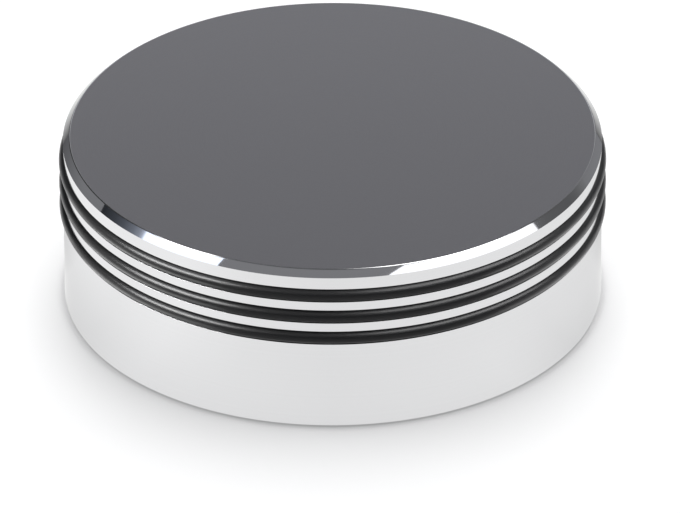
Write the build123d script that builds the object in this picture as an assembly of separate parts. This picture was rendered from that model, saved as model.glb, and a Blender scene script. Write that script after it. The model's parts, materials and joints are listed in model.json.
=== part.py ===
from build123d import *
import os
from math import sqrt

# Record weight: a turned aluminium puck with rubber damping rings in its side and a felt pad under it.
# Millimetres, +Z up, turned about Z. The origin is the centre of the face that rests on the record.

# Body
body_diameter = 80.0
body_height = 26.2
top_bevel = 1.0  # both legs of the 45 degree bevel round the top face
bottom_edge_break = 0.1

# Damping rings and the lands of bare metal beside them
ring_names = ("upper", "middle", "lower")
ring_cord = 2.0
ring_proud = 0.6  # how far a seated ring stands out of the side
ring_side_clearance = 0.1
top_land = 1.9
ring_land = 1.4

# Spindle bore, blind, bored from below
spindle_diameter = 7.2
spindle_clearance = 0.1
bore_lead_in = 0.5
bore_roof = 8.0  # metal left over the bore

# Felt pad in its recess under the body
pad_thickness = 1.0
pad_proud = 0.3
pad_side_clearance = 0.2
pad_rim = 8.0  # bare metal outside the recess
bore_rim = 2.8  # bare metal between the bore's lead-in and the pad

# Heights and radii that the pieces share
body_radius = body_diameter / 2
base_z = pad_proud
top_z = base_z + body_height
groove_width = ring_cord + 2 * ring_side_clearance
groove_floor_radius = body_radius + ring_proud - ring_cord
groove_pitch = groove_width + ring_land
first_groove_top = top_z - top_bevel - top_land
recess_radius = body_radius - pad_rim
recess_z = pad_thickness
bore_radius = spindle_diameter / 2 + spindle_clearance
bore_mouth_radius = bore_radius + bore_lead_in
bore_end_z = top_z - bore_roof


def groove_top(index):
    return first_groove_top - index * groove_pitch


def groove_outline(index):
    upper = groove_top(index)
    lower = upper - groove_width
    return [
        (body_radius, upper),
        (groove_floor_radius, upper),
        (groove_floor_radius, lower),
        (body_radius, lower),
    ]


def weight_body():
    outline = [
        (0, top_z),
        (body_radius - top_bevel, top_z),
        (body_radius, top_z - top_bevel),
    ]
    for index in range(len(ring_names)):
        outline += groove_outline(index)
    outline += [
        (body_radius, base_z + bottom_edge_break),
        (body_radius - bottom_edge_break, base_z),
        (recess_radius, base_z),
        (recess_radius, recess_z),
        (bore_mouth_radius, recess_z),
        (bore_radius, recess_z + bore_lead_in),
        (bore_radius, bore_end_z),
        (0, bore_end_z),
    ]
    with BuildPart() as body:
        with BuildSketch(Plane.XZ):
            with BuildLine():
                Polyline(*outline, close=True)
            make_face()
        revolve(axis=Axis.Z)
    return body.part


# The cord is drawn as a regular octagon. Its inner flat is the ring's seat on the groove's floor.
def damping_ring(index):
    cord_centre_radius = groove_floor_radius + ring_cord / 2
    cord_z = groove_top(index) - groove_width / 2
    corner_cut = ring_cord * (1 - 1 / sqrt(2))
    with BuildPart() as ring:
        with BuildSketch(Plane.XZ) as cord:
            with Locations((cord_centre_radius, cord_z)):
                Rectangle(ring_cord, ring_cord)
            chamfer(cord.vertices(), corner_cut)
        revolve(axis=Axis.Z)
    return ring.part


def base_pad():
    outer_radius = recess_radius - pad_side_clearance
    inner_radius = bore_mouth_radius + bore_rim
    with BuildPart() as pad:
        with BuildSketch():
            Circle(outer_radius)
            Circle(inner_radius, mode=Mode.SUBTRACT)
        extrude(amount=pad_thickness)
    return pad.part


parts = {"weight_body": weight_body(), "base_pad": base_pad()}
for index, name in enumerate(ring_names):
    parts[f"damping_ring_{name}"] = damping_ring(index)

os.makedirs("parts", exist_ok=True)
for node, part in parts.items():
    export_step(part, f"parts/{node}.step")
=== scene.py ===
import json
import math
import bmesh
import bpy
from mathutils import Matrix, Vector


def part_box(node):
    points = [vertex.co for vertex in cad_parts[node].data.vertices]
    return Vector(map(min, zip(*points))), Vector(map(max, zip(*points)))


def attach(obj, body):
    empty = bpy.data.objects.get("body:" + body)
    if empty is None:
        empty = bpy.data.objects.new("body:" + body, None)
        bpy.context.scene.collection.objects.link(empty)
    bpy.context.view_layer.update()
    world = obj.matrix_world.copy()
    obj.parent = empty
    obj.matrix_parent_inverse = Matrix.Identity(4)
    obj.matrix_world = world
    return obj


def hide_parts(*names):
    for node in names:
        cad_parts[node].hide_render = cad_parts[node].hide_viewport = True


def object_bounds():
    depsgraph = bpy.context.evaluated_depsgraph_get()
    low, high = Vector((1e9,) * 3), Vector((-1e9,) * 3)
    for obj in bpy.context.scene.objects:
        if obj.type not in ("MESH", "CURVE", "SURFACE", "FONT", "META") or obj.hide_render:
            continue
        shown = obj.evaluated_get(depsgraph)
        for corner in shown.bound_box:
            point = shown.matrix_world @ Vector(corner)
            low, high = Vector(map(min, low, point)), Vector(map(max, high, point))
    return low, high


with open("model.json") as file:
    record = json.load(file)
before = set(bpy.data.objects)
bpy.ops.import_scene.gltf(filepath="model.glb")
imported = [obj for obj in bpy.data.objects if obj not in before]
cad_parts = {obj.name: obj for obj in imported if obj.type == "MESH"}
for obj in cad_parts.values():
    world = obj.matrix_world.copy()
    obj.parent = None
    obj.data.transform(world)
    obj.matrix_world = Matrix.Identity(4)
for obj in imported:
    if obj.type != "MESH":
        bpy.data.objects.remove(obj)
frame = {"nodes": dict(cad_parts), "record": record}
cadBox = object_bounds()
scene = bpy.context.scene
scene.view_settings.view_transform = 'Standard'
mm = 0.001  # outlines are drawn in millimetres and scaled to metres at the end
print("frame loaded:", ", ".join(sorted(frame["nodes"])))


# Shapes

meshSettings = {
    "edgeSegments": 3,
    "mergeDistance": 0.0002,  # millimetres
    "sharpAngle": 40,  # degrees
}


def drawOutline(bm, points, closed=False):  # half section: radius, height and edge break of each point
    corners = [(bm.verts.new((radius, 0, height)), edgeBreak) for radius, height, edgeBreak in points]
    following = corners[1:] + corners[:1] if closed else corners[1:]
    for (first, _), (second, _) in zip(corners, following):
        bm.edges.new((first, second))
    for size in sorted({edgeBreak for _, edgeBreak in corners if edgeBreak}):
        sharp = [corner for corner, edgeBreak in corners if edgeBreak == size]
        bmesh.ops.bevel(bm, geom=sharp, offset=size, affect='VERTICES',
                        segments=meshSettings["edgeSegments"], profile=0.5, material=-1)


def turnOutline(bm, steps):  # one full turn about the axis, closed and facing outwards
    bmesh.ops.spin(bm, geom=bm.verts[:] + bm.edges[:], cent=(0, 0, 0), axis=(0, 0, 1),
                   angle=math.tau, steps=steps, use_merge=True)
    bmesh.ops.remove_doubles(bm, verts=bm.verts[:], dist=meshSettings["mergeDistance"])
    bmesh.ops.recalc_face_normals(bm, faces=bm.faces[:])


def newObject(bm, name, materials):
    mesh = bpy.data.meshes.new(name)
    bm.to_mesh(mesh)
    bm.free()
    for material in materials:
        mesh.materials.append(material)
    made = bpy.data.objects.new(name, mesh)
    scene.collection.objects.link(made)
    return made


def finishPiece(bm, name, node, materials):
    bmesh.ops.scale(bm, vec=(mm, mm, mm), verts=bm.verts[:])
    sharpAngle = math.radians(meshSettings["sharpAngle"])
    for face in bm.faces:
        face.smooth = True
    for edge in bm.edges:
        edge.smooth = edge.calc_face_angle(0) < sharpAngle  # corners without an edge break stay sharp
    piece = newObject(bm, name, materials)
    shading = piece.modifiers.new("flatFaceShading", 'WEIGHTED_NORMAL')
    shading.mode = 'FACE_AREA'
    shading.keep_sharp = True
    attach(piece, "root")
    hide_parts(node)
    print("piece:", name, len(piece.data.polygons), "faces")
    return piece


# Nodes

def mathNode(tree, operation, first, second):
    node = tree.nodes.new('ShaderNodeMath')
    node.operation = operation
    for socket, value in zip(node.inputs, (first, second)):
        if isinstance(value, (int, float)):
            socket.default_value = value
        else:
            tree.links.new(value, socket)
    return node.outputs[0]


def mapRange(tree, source, given, wanted, blend='LINEAR'):  # numbers in one range as numbers in another
    node = tree.nodes.new('ShaderNodeMapRange')
    node.interpolation_type = blend
    for socket, value in zip(("From Min", "From Max", "To Min", "To Max"), (*given, *wanted)):
        node.inputs[socket].default_value = value
    tree.links.new(source, node.inputs["Value"])
    return node.outputs[0]


def coordinates(tree, kind):  # X, Y and Z of a place or direction
    split = tree.nodes.new('ShaderNodeSeparateXYZ')
    tree.links.new(tree.nodes.new('ShaderNodeTexCoord').outputs[kind], split.inputs[0])
    return split.outputs["X"], split.outputs["Y"], split.outputs["Z"]


def flatVector(tree, x, y):  # level, with no height
    node = tree.nodes.new('ShaderNodeCombineXYZ')
    tree.links.new(x, node.inputs["X"])
    tree.links.new(y, node.inputs["Y"])
    return node.outputs[0]


def axisDistance(tree, x, y):
    node = tree.nodes.new('ShaderNodeVectorMath')
    node.operation = 'LENGTH'
    tree.links.new(flatVector(tree, x, y), node.inputs[0])
    return node.outputs["Value"]


def noiseNode(tree, values):
    node = tree.nodes.new('ShaderNodeTexNoise')
    for socket, value in values.items():
        node.inputs[socket].default_value = value
    return node


# Surface patterns that several finishes share

def newGroup(name, inputs, output):
    group = bpy.data.node_groups.new(name, 'ShaderNodeTree')
    for socket, value in inputs.items():
        made = group.interface.new_socket(socket, in_out='INPUT', socket_type='NodeSocketFloat')
        made.default_value = value
    group.interface.new_socket(output, in_out='OUTPUT', socket_type='NodeSocketFloat')
    return group, group.nodes.new('NodeGroupInput'), group.nodes.new('NodeGroupOutput')


linePattern = {
    "inputs": {"Lines per metre": 3000, "Waver": 0.00004},  # waver in metres, sideways
    "drift": {"Scale": 90},
    "lines": {"Scale": 1, "Detail": 4, "Roughness": 0.65},
}


def turnedLinesGroup(pattern):  # left by a turning tool: they run round the axis and follow the section
    group, given, result = newGroup("turnedLines", pattern["inputs"], "Lines")
    x, y, z = coordinates(group, "Object")
    along = mathNode(group, 'SUBTRACT', axisDistance(group, x, y), z)
    drift = noiseNode(group, pattern["drift"])  # lines start and stop as they go round
    group.links.new(group.nodes.new('ShaderNodeTexCoord').outputs["Object"], drift.inputs["Vector"])
    wander = mathNode(group, 'MULTIPLY', drift.outputs["Fac"], given.outputs["Waver"])
    along = mathNode(group, 'ADD', along, wander)
    lines = noiseNode(group, pattern["lines"])
    lines.noise_dimensions = '1D'
    group.links.new(mathNode(group, 'MULTIPLY', along, given.outputs["Lines per metre"]), lines.inputs["W"])
    group.links.new(lines.outputs["Fac"], result.inputs["Lines"])
    return group


grainPattern = {
    "inputs": {"Grains per metre": 8000, "Tangle": 0},
    "grain": {"Detail": 5, "Roughness": 0.6},
}


def fineGrainGroup(pattern):  # pores, grains or fibres, even in all directions
    group, given, result = newGroup("fineGrain", pattern["inputs"], "Grain")
    grain = noiseNode(group, pattern["grain"])
    group.links.new(group.nodes.new('ShaderNodeTexCoord').outputs["Object"], grain.inputs["Vector"])
    group.links.new(given.outputs["Grains per metre"], grain.inputs["Scale"])
    group.links.new(given.outputs["Tangle"], grain.inputs["Distortion"])
    group.links.new(grain.outputs["Fac"], result.inputs["Grain"])
    return group


turnedLines = turnedLinesGroup(linePattern)
fineGrain = fineGrainGroup(grainPattern)
patternRange = (0.3, 0.7)  # values that noise seldom leaves
print("patterns made")


# Finishes

def newMaterial(name, values):
    material = bpy.data.materials.new(name)
    material.use_nodes = True
    shader = material.node_tree.nodes["Principled BSDF"]
    for socket, value in values.items():
        shader.inputs[socket].default_value = value
    return material, material.node_tree, shader


def placeGroup(tree, group, values):
    node = tree.nodes.new('ShaderNodeGroup')
    node.node_tree = group
    for socket, value in values.items():
        node.inputs[socket].default_value = value
    return node.outputs[0]


def spread(tree, source, lowHigh):  # a pattern as numbers between low and high
    return mapRange(tree, source, patternRange, lowHigh)


def tint(tree, source, dark, light):  # a pattern as colours between dark and light
    node = tree.nodes.new('ShaderNodeValToRGB')
    for stop, position, colour in zip(node.color_ramp.elements, patternRange, (dark, light)):
        stop.position = position
        stop.color = (*colour, 1)
    tree.links.new(source, node.inputs["Fac"])
    return node.outputs["Color"]


def relief(tree, source, depth, over=None):  # depth in metres, laid over another relief if there is one
    node = tree.nodes.new('ShaderNodeBump')
    node.inputs["Strength"].default_value = 1
    node.inputs["Distance"].default_value = depth
    tree.links.new(source, node.inputs["Height"])
    if over:
        tree.links.new(over, node.inputs["Normal"])
    return node.outputs["Normal"]


def dress(tree, shader, colour, roughness, normal):
    tree.links.new(colour, shader.inputs["Base Color"])
    tree.links.new(roughness, shader.inputs["Roughness"])
    tree.links.new(normal, shader.inputs["Normal"])


aluminiumFinish = {
    "dark": (0.768, 0.77, 0.777),
    "light": (0.776, 0.778, 0.785),
    "edgeTint": (0.88, 0.88, 0.88),  # polish gives out towards the outline
    "roughness": (0.03, 0.045),
    "coarseLines": 2600,  # per metre of section
    "coarseDepth": 1.2e-7,
    "fineLines": 11000,
    "fineDepth": 4e-8,
    "marks": 55,  # per metre
    "markTangle": 0.6,
}


def polishedAluminium(finish):
    values = {"Metallic": 1.0, "Specular Tint": (*finish["edgeTint"], 1)}
    material, tree, shader = newMaterial("polishedAluminium", values)
    coarse = placeGroup(tree, turnedLines, {"Lines per metre": finish["coarseLines"]})
    fine = placeGroup(tree, turnedLines, {"Lines per metre": finish["fineLines"]})
    markValues = {"Grains per metre": finish["marks"], "Tangle": finish["markTangle"]}
    marks = placeGroup(tree, fineGrain, markValues)
    colour = tint(tree, coarse, finish["dark"], finish["light"])
    normal = relief(tree, fine, finish["fineDepth"], relief(tree, coarse, finish["coarseDepth"]))
    dress(tree, shader, colour, spread(tree, marks, finish["roughness"]), normal)
    return material


darkTopPaintFinish = {
    # painted reflection: this dark grey stands in for the dark room mirrored in a top polished like the rest
    "dark": (0.106, 0.106, 0.116),
    "light": (0.118, 0.118, 0.128),
    "metallic": 0.25,
    "roughness": (0.36, 0.44),
    "lines": 5200,  # per metre of section
    "lineDepth": 4e-7,
    "grains": 9000,  # per metre
    "grainDepth": 6e-7,
}


def darkTopPaintedReflection(finish):
    material, tree, shader = newMaterial("darkTopPaintedReflection", {"Metallic": finish["metallic"]})
    lines = placeGroup(tree, turnedLines, {"Lines per metre": finish["lines"]})
    grain = placeGroup(tree, fineGrain, {"Grains per metre": finish["grains"]})
    # painted reflection in the base colour; the sheen over it comes from real reflections
    colour = tint(tree, grain, finish["dark"], finish["light"])
    normal = relief(tree, grain, finish["grainDepth"], relief(tree, lines, finish["lineDepth"]))
    dress(tree, shader, colour, spread(tree, lines, finish["roughness"]), normal)
    return material


rubberFinish = {
    "dark": (0.011, 0.011, 0.012),
    "light": (0.017, 0.017, 0.018),
    "specular": 0.18,
    "anisotropy": 0.45,  # the sheen is wide across the cord
    "sheenTurn": 0.25,  # of a full turn, from along the cord to across it
    "roughness": (0.28, 0.35),
    "lines": 5000,  # per metre of section
    "lineWaver": 0.0002,
    "lineDepth": 3e-6,
    "grains": 14000,  # per metre
    "grainDepth": 1.5e-6,
}


def aroundAxis(tree):  # direction round the turning axis
    x, y, _ = coordinates(tree, "Object")
    return flatVector(tree, mathNode(tree, 'MULTIPLY', y, -1), x)


def ringRubber(finish):
    values = {"Metallic": 0.0, "Specular IOR Level": finish["specular"],
              "Anisotropic": finish["anisotropy"], "Anisotropic Rotation": finish["sheenTurn"]}
    material, tree, shader = newMaterial("ringRubber", values)
    tree.links.new(aroundAxis(tree), shader.inputs["Tangent"])
    lines = placeGroup(tree, turnedLines, {"Lines per metre": finish["lines"], "Waver": finish["lineWaver"]})
    grain = placeGroup(tree, fineGrain, {"Grains per metre": finish["grains"]})
    colour = tint(tree, grain, finish["dark"], finish["light"])
    normal = relief(tree, grain, finish["grainDepth"], relief(tree, lines, finish["lineDepth"]))
    dress(tree, shader, colour, spread(tree, lines, finish["roughness"]), normal)
    return material


feltFinish = {
    "dark": (0.012, 0.012, 0.013),
    "light": (0.045, 0.045, 0.048),
    "fuzz": 0.25,
    "fuzzRoughness": 0.6,
    "roughness": (0.9, 1.0),
    "fibres": 3200,  # per metre
    "tangle": 2.4,
    "depth": 0.00012,
}


def padFelt(finish):
    values = {"Metallic": 0.0, "Sheen Weight": finish["fuzz"], "Sheen Roughness": finish["fuzzRoughness"]}
    material, tree, shader = newMaterial("padFelt", values)
    fibres = placeGroup(tree, fineGrain, {"Grains per metre": finish["fibres"], "Tangle": finish["tangle"]})
    colour = tint(tree, fibres, finish["dark"], finish["light"])
    roughness = spread(tree, fibres, finish["roughness"])
    dress(tree, shader, colour, roughness, relief(tree, fibres, finish["depth"]))
    return material


aluminium = polishedAluminium(aluminiumFinish)
darkTopPaint = darkTopPaintedReflection(darkTopPaintFinish)
rubber = ringRubber(rubberFinish)
felt = padFelt(feltFinish)
print("finishes made")


# Damping rings: round cord, one in each groove

ringSettings = {
    "names": ("upper", "middle", "lower"),
    "cordSteps": 32,
    "turnSteps": 256,
}


def ringPlace(name):  # middle height, outer radius and cord, from the frame
    low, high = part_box("damping_ring_" + name)
    return (low.z + high.z) / 2 / mm, high.x / mm, (high.z - low.z) / mm


def dampingRing(name, settings):
    height, outerRadius, cord = ringPlace(name)
    upright = Matrix.Rotation(math.pi / 2, 4, 'X')
    section = Matrix.Translation((outerRadius - cord / 2, 0, height)) @ upright
    bm = bmesh.new()
    bmesh.ops.create_circle(bm, segments=settings["cordSteps"], radius=cord / 2, matrix=section)
    turnOutline(bm, settings["turnSteps"])
    return finishPiece(bm, "ring" + name.capitalize(), "damping_ring_" + name, [rubber])


rings = bpy.data.collections.new("rings")  # for the lamps that light only them
for ringName in ringSettings["names"]:
    rings.objects.link(dampingRing(ringName, ringSettings))


# Felt washer under the weight

padSettings = {
    "softEdge": 0.3,
    "turnSteps": 192,
}


def holeRadius(node):
    return min(Vector(vertex.co[:2]).length for vertex in frame["nodes"][node].data.vertices) / mm


def feltPad(settings):
    low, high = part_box("base_pad")
    outer, inner, soft = high.x / mm, holeRadius("base_pad"), settings["softEdge"]
    bottom, top = low.z / mm, high.z / mm
    outline = [(outer, top, 0), (outer, bottom, soft), (inner, bottom, soft), (inner, top, 0)]
    bm = bmesh.new()
    drawOutline(bm, outline, closed=True)
    turnOutline(bm, settings["turnSteps"])
    return finishPiece(bm, "feltPad", "base_pad", [felt])


feltPad(padSettings)


# Turned body, its section drawn from the middle of the top, round the outside and back up the bore

bodySettings = {
    "bevel": 1.0,  # both legs, round the top face
    "bevelCrown": 1.25,  # degrees that the bevel leans either way from its middle
    "bevelSteps": 8,
    "topEdge": 0.1,
    "lipEdge": 0.03,  # both lips of each groove
    "rimEdge": 0.03,
    "innerEdge": 0.12,
    "grooveSideGap": 0.1,
    "bottomBreak": 0.1,
    "padSideGap": 0.2,
    "boreLeadIn": 0.5,
    "turnSteps": 256,
    "darkTopDepth": 0.001,  # faces no deeper than this below the top get the dark top, whose grey is a painted reflection
}


def crownedBevel(outerRadius, top, settings):
    leg, steps, crown = settings["bevel"], settings["bevelSteps"], math.radians(settings["bevelCrown"])
    arcRadius = leg / math.sqrt(2) / math.sin(crown)
    reach = arcRadius * math.cos(crown) / math.sqrt(2)
    centreRadius, centreHeight = outerRadius - leg / 2 - reach, top - leg / 2 - reach
    points = []
    for step in range(steps + 1):
        lean = math.pi / 4 + crown * (1 - 2 * step / steps)
        radius, height = centreRadius + arcRadius * math.cos(lean), centreHeight + arcRadius * math.sin(lean)
        points.append((radius, height, 0 if step else settings["topEdge"]))
    return points


def ringGroove(name, outerRadius, settings):
    height, ringRadius, cord = ringPlace(name)
    half, floor = cord / 2 + settings["grooveSideGap"], ringRadius - cord
    lip, inner = settings["lipEdge"], settings["innerEdge"]
    return [(outerRadius, height + half, lip), (floor, height + half, inner),
            (floor, height - half, inner), (outerRadius, height - half, lip)]


def underside(outerRadius, base, settings):
    padTop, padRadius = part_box("base_pad")[1].z / mm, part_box("base_pad")[1].x / mm
    bore = next(mount for mount in frame["record"]["mounts"] if mount["name"] == "spindle_bore")["dims"]
    recess, edge = padRadius + settings["padSideGap"], settings["bottomBreak"]
    rim, inner = settings["rimEdge"], settings["innerEdge"]
    mouth, boreStart = bore["r_mm"] + settings["boreLeadIn"], padTop + settings["boreLeadIn"]
    boreEnd = boreStart + bore["length_mm"]
    return [(outerRadius, base + edge, rim), (outerRadius - edge, base, rim), (recess, base, rim),
            (recess, padTop, inner), (mouth, padTop, rim), (bore["r_mm"], boreStart, rim),
            (bore["r_mm"], boreEnd, inner), (0, boreEnd, 0)]


def weightBody(settings):
    low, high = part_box("weight_body")
    outerRadius, base, top = high.x / mm, low.z / mm, high.z / mm
    outline = [(0, top, 0)] + crownedBevel(outerRadius, top, settings)
    for name in ringSettings["names"]:
        outline += ringGroove(name, outerRadius, settings)
    outline += underside(outerRadius, base, settings)
    bm = bmesh.new()
    drawOutline(bm, outline)
    turnOutline(bm, settings["turnSteps"])
    for face in bm.faces:
        lowest = min(corner.co.z for corner in face.verts)
        face.material_index = 1 if lowest > top - settings["darkTopDepth"] else 0
    return finishPiece(bm, "turnedWeight", "weight_body", [aluminium, darkTopPaint])


weightBody(bodySettings)


# Camera

cameraSettings = {
    "elevation": 30.91,  # degrees
    "roll": 0.17,
    "distance": 1.985,
    "target": (0.00107, 0, 0.005265),
    "lens": 705.2,
    "sensor": 36,
    "farEnd": 20,
}


def placeCamera(settings):
    tilt = math.radians(settings["elevation"])
    back = Vector((0, -math.cos(tilt), math.sin(tilt)))
    right = Vector((1, 0, 0))
    turn = Matrix((right, back.cross(right), back)).transposed().to_4x4()
    lens = bpy.data.cameras.new("camera")
    lens.lens = settings["lens"]
    lens.sensor_width = settings["sensor"]
    lens.clip_end = settings["farEnd"]
    camera = bpy.data.objects.new("camera", lens)
    scene.collection.objects.link(camera)
    place = Matrix.Translation(Vector(settings["target"]) + back * settings["distance"])
    camera.matrix_world = place @ turn @ Matrix.Rotation(-math.radians(settings["roll"]), 4, 'Z')
    scene.camera = camera


placeCamera(cameraSettings)


# Floor, which looks different to the camera and in reflections

floorSettings = {
    "halfSize": 3.0,
    "drop": 0.00002,  # just under the felt
    "seenColour": 0.64,
    "seenGlow": 0.428,
    "paintedShadowReach": 0.0013,  # painted contact shadow: ambient occlusion dims the glow where the object meets the floor
    "mirroredColour": 0.12,
    "mirroredReach": 0.12,  # the mirrored glow fades with the distance from here on
    "nearPaintedTones": ((-150, 0.85), (-118, 0.52), (-105, 0.7), (-94, 0.88), (-70, 0.85), (-50, 0.905),
                  (-25, 0.88), (0, 0.85), (45, 0.885), (65, 0.81), (95, 0.86), (112, 0.58),
                  (150, 0.85)),  # painted light and shade in the mirrored glow, by azimuth, degrees from the front
    "farPaintedTones": ((-150, 0.85), (-110, 1.0), (-90, 0.98), (-70, 0.93), (-50, 0.945), (-25, 0.85),
                 (0, 0.82), (45, 0.84), (95, 0.857), (115, 0.87)),
    "nearToFar": (0.042, 0.062),  # metres from the axis
}
white = (1, 1, 1)


def matteShader(tree, colour, glow):
    matte = tree.nodes.new('ShaderNodeBsdfDiffuse')
    matte.inputs["Color"].default_value = (colour, colour, colour, 1)
    light = tree.nodes.new('ShaderNodeEmission')
    light.inputs["Strength"].default_value = glow
    both = tree.nodes.new('ShaderNodeAddShader')
    tree.links.new(matte.outputs[0], both.inputs[0])
    tree.links.new(light.outputs[0], both.inputs[1])
    return both.outputs[0], light


def chooseShader(tree, switch, otherwise, chosen):
    node = tree.nodes.new('ShaderNodeMixShader')
    for source, socket in zip((switch, otherwise, chosen), node.inputs):
        tree.links.new(source, socket)
    return node.outputs[0]


def toneRamp(tree, source, tones, colour):  # tones at places from 0 to 1
    ramp = tree.nodes.new('ShaderNodeValToRGB')
    stops = ramp.color_ramp.elements
    for _ in tones[2:]:
        stops.new(1)
    for stop, (position, tone) in zip(stops, tones):
        stop.position = position
        stop.color = (*[tone * part for part in colour], 1)
    tree.links.new(source, ramp.inputs["Fac"])
    return ramp.outputs["Color"]


def seenFloor(tree, settings):
    shader, light = matteShader(tree, settings["seenColour"], settings["seenGlow"])
    # painted contact shadow: ambient occlusion darkens the glow next to the object
    paintedShadow = tree.nodes.new('ShaderNodeAmbientOcclusion')
    paintedShadow.inputs["Distance"].default_value = settings["paintedShadowReach"]
    tree.links.new(paintedShadow.outputs["AO"], light.inputs["Color"])
    return shader


def mirroredFloor(tree, settings):
    # painted reflection: in reflections the floor glows with tones set by azimuth and distance from the
    # axis, which stand in for light and shade falling unevenly round the object
    shader, light = matteShader(tree, settings["mirroredColour"], 1)
    x, y, _ = coordinates(tree, "Object")
    distance = axisDistance(tree, x, y)
    azimuth = mathNode(tree, 'ARCTAN2', x, mathNode(tree, 'MULTIPLY', y, -1))
    turn = mathNode(tree, 'ADD', mathNode(tree, 'DIVIDE', azimuth, math.tau), 0.5)  # a half at the front
    far = mapRange(tree, distance, settings["nearToFar"], (0, 1), 'SMOOTHSTEP')
    blend = tree.nodes.new('ShaderNodeMixRGB')
    tree.links.new(far, blend.inputs["Fac"])
    for name, socket in (("nearPaintedTones", "Color1"), ("farPaintedTones", "Color2")):
        tones = [(angle / 360 + 0.5, tone) for angle, tone in settings[name]]
        tree.links.new(toneRamp(tree, turn, tones, white), blend.inputs[socket])
    tree.links.new(blend.outputs["Color"], light.inputs["Color"])
    fade = mathNode(tree, 'DIVIDE', settings["mirroredReach"], distance)
    tree.links.new(mathNode(tree, 'MINIMUM', 1, fade), light.inputs["Strength"])
    return shader


def paleFloor(settings):
    material = bpy.data.materials.new("paleFloor")
    material.use_nodes = True
    tree = material.node_tree
    tree.nodes.remove(tree.nodes["Principled BSDF"])
    ray = tree.nodes.new('ShaderNodeLightPath').outputs
    mirroredRay = mathNode(tree, 'MAXIMUM', ray["Is Glossy Ray"], ray["Is Transmission Ray"])
    plain, _ = matteShader(tree, settings["seenColour"], 0)
    shown = chooseShader(tree, mirroredRay, plain, mirroredFloor(tree, settings))
    shown = chooseShader(tree, ray["Is Camera Ray"], shown, seenFloor(tree, settings))
    below = tree.nodes.new('ShaderNodeNewGeometry').outputs["Backfacing"]
    clear = tree.nodes.new('ShaderNodeBsdfTransparent').outputs[0]
    shown = chooseShader(tree, below, shown, clear)
    tree.links.new(shown, tree.nodes["Material Output"].inputs["Surface"])
    bm = bmesh.new()
    bmesh.ops.create_grid(bm, x_segments=1, y_segments=1, size=settings["halfSize"],
                          matrix=Matrix.Translation((0, 0, -settings["drop"])))
    newObject(bm, "floor", [material])


paleFloor(floorSettings)


# Room, a plain grey that differs a little between left and right near the floor

roomSettings = {
    "tone": 0.205,
    "toneRise": 0.033,
    "tint": (0.975, 0.985, 1.04),
    "lowRise": 0.3,  # sine of the height where left and right become alike
    "lowSlope": 0.115,
    "lowDrop": 0.02,
    "ceilingRise": (0.89, 0.93),  # sine of the heights between which the dark ceiling begins
    "ceilingTone": 0.45,
}


def greyRoom(settings):
    world = bpy.data.worlds.new("greyRoom")
    scene.world = world
    world.use_nodes = True
    tree = world.node_tree
    side, _, rise = coordinates(tree, "Generated")
    tone = mathNode(tree, 'ADD', mathNode(tree, 'MULTIPLY', rise, settings["toneRise"]), settings["tone"])
    slope = mathNode(tree, 'MULTIPLY', side, settings["lowSlope"])
    lean = mathNode(tree, 'SUBTRACT', slope, settings["lowDrop"])
    low = mapRange(tree, rise, (0, settings["lowRise"]), (1, 0))
    tone = mathNode(tree, 'ADD', tone, mathNode(tree, 'MULTIPLY', low, lean))
    ceiling = mapRange(tree, rise, settings["ceilingRise"], (1, settings["ceilingTone"]))
    tone = mathNode(tree, 'MULTIPLY', tone, ceiling)
    tinted = tree.nodes.new('ShaderNodeVectorMath')
    tinted.operation = 'SCALE'
    tinted.inputs[0].default_value = settings["tint"]
    tree.links.new(tone, tinted.inputs["Scale"])
    tree.links.new(tinted.outputs[0], tree.nodes["Background"].inputs["Color"])


greyRoom(roomSettings)


# Light: panels that stand square to a direction from the middle of the top

litPoint = Vector((0, 0, cadBox[1].z))
floorGap = 0.001
sidePanel = {
    "roll": 0,
    "distance": 0.45,
    "across": (-0.17, 0.17),
    "up": (-0.17, 0.17),
    "radiance": 1.58,
}
roomLamps = {  # for the floor and the matt finishes
    "overheadPanel": {
        "towards": (0, 90),  # azimuth from the front and elevation, degrees
        "roll": 0,
        "distance": 2.0,
        "across": (-0.25, 0.33),  # its edges, in parts of the distance
        "up": (-0.14, 1.28),
        "radiance": 4.65,
    },
    "zenithPanel": {
        "towards": (0, 90),
        "roll": 0,
        "distance": 2.0,
        "across": (-0.04, 0.04),
        "up": (-0.09, 0.09),
        "radiance": 20,
    },
    "leftPanel": {**sidePanel, "towards": (-96, 45.6)},
    "rightPanel": {**sidePanel, "towards": (96, 45.6)},
}
floorLamp = {  # lies face up just over the floor, for the lower half of the rings
    "roll": 0,
    "distance": litPoint.z - floorGap,
    "up": (1.69, 2.6),
}
slantLamp = {  # faint, rises from the floor for the ends of the rings
    "roll": 0,
    "distance": 0.0543,
    "up": (0.53, 4.2),
    "radiance": 0.95,
}
ringLamps = {
    "leftRingLamp": {  # sheen along the rings
        "towards": (-79, 45),
        "roll": 25,
        "distance": 1.4,
        "across": (-0.31, 0.39),
        "up": (-0.48, -0.1),
        "radiance": 48,
    },
    "rightRingLamp": {
        "towards": (72, 47),
        "roll": -20,
        "distance": 1.4,
        "across": (-0.62, 0.455),
        "up": (-0.12, 0.35),
        "radiance": 12.5,
    },
    "leftBounce": {**floorLamp, "towards": (-60, -90), "across": (-0.95, 0.95), "radiance": 3.2},
    "rightBounce": {**floorLamp, "towards": (70, -90), "across": (-0.75, 0.75), "radiance": 1.8},
    "leftSlant": {**slantLamp, "towards": (-105, -52), "across": (-0.03, 1.3)},
    "rightSlant": {**slantLamp, "towards": (105, -52), "across": (-1.3, 0.03)},
    "ringCeiling": {  # faint, for the upper half of the rings
        "towards": (0, 90),
        "roll": 0,
        "distance": 1.0,
        "across": (-2, 2),
        "up": (-2, 2),
        "radiance": 1.0,
    },
}
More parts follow.
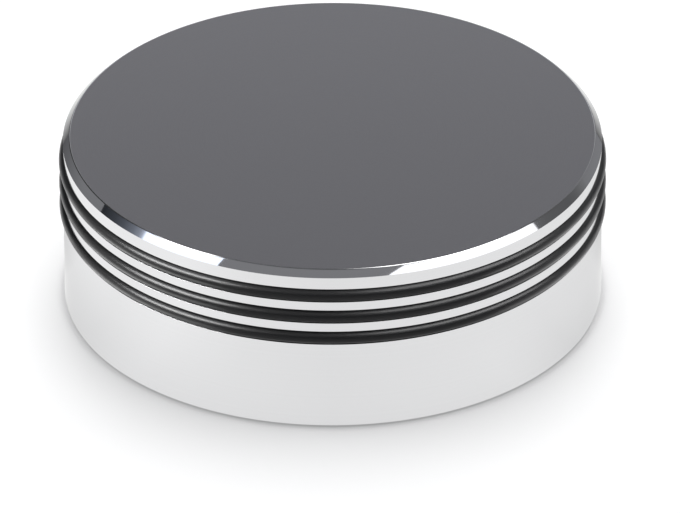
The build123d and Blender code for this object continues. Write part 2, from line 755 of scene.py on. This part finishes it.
lightCards = {  # radiance in tones from left to right
    "leftBox": {  # a shaded wing, then the white part of the bevel
        "towards": (-79, 45),
        "roll": 25,
        "distance": 1.6,
        "up": (-0.12, 0.11),
        "tint": (0.91, 1.0, 1.2),
        "tones": ((-0.67, 0.022), (-0.5, 0.06), (-0.41, 0.1), (-0.325, 0.18), (-0.27, 0.3),
                  (-0.243, 0.55), (-0.226, 1.5), (0.264, 1.5)),
    },
    "rightBox": {
        "towards": (72, 47),
        "roll": -10,
        "distance": 1.6,
        "up": (-0.32, 0.18),
        "tint": (0.99, 1.0, 1.04),
        "tones": ((-0.7, 1.5), (0.447, 1.5), (0.457, 0.15), (0.55, 0.125), (0.64, 0.115),
                  (0.92, 0.112), (1.07, 0.127), (1.37, 0.195), (1.42, 0.2)),
    },
    "leftFlag": {  # dark, for the line between the bevel and the top
        "towards": (-137, 30),
        "roll": 45,
        "distance": 1.6,
        "up": (-0.2, 0.3),
        "tint": white,
        "tones": ((-0.4, 0.03), (0.5, 0.03)),
    },
    "rightFlag": {
        "towards": (137, 30),
        "roll": -45,
        "distance": 1.6,
        "up": (-0.2, 0.3),
        "tint": white,
        "tones": ((-0.5, 0.1), (-0.1, 0.1)),
    },
    "leftStrip": {  # bright, for the break between the bevel and the top
        "towards": (0, 90),
        "roll": -20,
        "distance": 1.8,
        "up": (-0.2, 0.3),
        "tint": white,
        "tones": ((-0.8, 0.5), (-0.75, 4), (-0.44, 4), (-0.39, 0.5)),
    },
    "rightStrip": {
        "towards": (0, 90),
        "roll": 20,
        "distance": 1.8,
        "up": (-0.2, 0.3),
        "tint": white,
        "tones": ((0.115, 0.5), (0.175, 4), (0.79, 4), (0.86, 0.3)),
    },
    "leftLipCard": {  # behind the left ring lamp, for the lips of the grooves
        "towards": (-79, 45),
        "roll": 25,
        "distance": 1.7,
        "up": (-0.48, -0.13),
        "tint": white,
        "tones": ((-0.31, 9), (0.39, 9)),
    },
    "backCard": {  # on its side, shaded from its foot upwards, for the sheen on the top
        "towards": (180, 28),
        "roll": 90,
        "distance": 0.12,
        "up": (-0.6, 0.6),
        "tint": (0.98, 0.99, 1.03),
        "tones": ((-0.4, 1.2), (0.0, 0.6), (0.25, 0.1), (0.6, 0.0)),
    },
}


def panelMatrix(panel, across):  # X to the right, Y up, Z away from the object
    azimuth, elevation = (math.radians(angle) for angle in panel["towards"])
    level = Vector((math.sin(azimuth), -math.cos(azimuth), 0))
    outward = level * math.cos(elevation) + Vector((0, 0, math.sin(elevation)))
    sideways = Vector((0, 0, 1)).cross(level)
    turn = Matrix((sideways, outward.cross(sideways), outward)).transposed().to_4x4()
    turn = turn @ Matrix.Rotation(math.radians(panel["roll"]), 4, 'Z')
    middle = Vector((sum(across) / 2, sum(panel["up"]) / 2, 1))
    return Matrix.Translation(litPoint + turn @ (middle * panel["distance"])) @ turn


def panelSize(panel, across):  # width and height in metres
    return [panel["distance"] * (high - low) for low, high in (across, panel["up"])]


def softLamp(name, panel, receivers=None):  # with receivers, it only makes their sheen
    lamp = bpy.data.lights.new(name, 'AREA')
    lamp.shape = 'RECTANGLE'
    lamp.size, lamp.size_y = panelSize(panel, panel["across"])
    lamp.energy = panel["radiance"] * math.pi * lamp.size * lamp.size_y
    holder = bpy.data.objects.new(name, lamp)
    scene.collection.objects.link(holder)
    holder.matrix_world = panelMatrix(panel, panel["across"])
    holder.visible_camera = False
    holder.visible_glossy = bool(receivers)
    holder.visible_diffuse = not receivers
    holder.light_linking.receiver_collection = receivers


def cardMaterial(name, panel, across):
    material = bpy.data.materials.new(name)
    material.use_nodes = True
    tree = material.node_tree
    tree.nodes.remove(tree.nodes["Principled BSDF"])
    left, right = across
    radiance = max(tone for _, tone in panel["tones"])
    tones = [((place - left) / (right - left), tone / radiance) for place, tone in panel["tones"]]
    fromLeft, _, _ = coordinates(tree, "Generated")
    glow = tree.nodes.new('ShaderNodeEmission')
    tree.links.new(toneRamp(tree, fromLeft, tones, panel["tint"]), glow.inputs["Color"])
    bounces = tree.nodes.new('ShaderNodeLightPath').outputs["Diffuse Depth"]
    direct = mathNode(tree, 'SUBTRACT', 1, mathNode(tree, 'MINIMUM', bounces, 1))  # no glints on the floor
    tree.links.new(mathNode(tree, 'MULTIPLY', direct, radiance), glow.inputs["Strength"])
    tree.links.new(glow.outputs[0], tree.nodes["Material Output"].inputs["Surface"])
    return material


def lightCard(name, panel):  # shows only in reflections
    across = panel["tones"][0][0], panel["tones"][-1][0]
    bm = bmesh.new()
    bmesh.ops.create_grid(bm, x_segments=1, y_segments=1, size=0.5)  # one metre wide
    bmesh.ops.scale(bm, vec=(*panelSize(panel, across), 1), verts=bm.verts[:])
    card = newObject(bm, name, [cardMaterial(name, panel, across)])
    card.matrix_world = panelMatrix(panel, across)
    card.visible_camera = False
    card.visible_diffuse = False
    card.visible_shadow = False


for lampName, lampPanel in roomLamps.items():
    softLamp(lampName, lampPanel)
for lampName, lampPanel in ringLamps.items():
    softLamp(lampName, lampPanel, rings)
for cardName, cardPanel in lightCards.items():
    lightCard(cardName, cardPanel)
print("camera, floor and light placed")
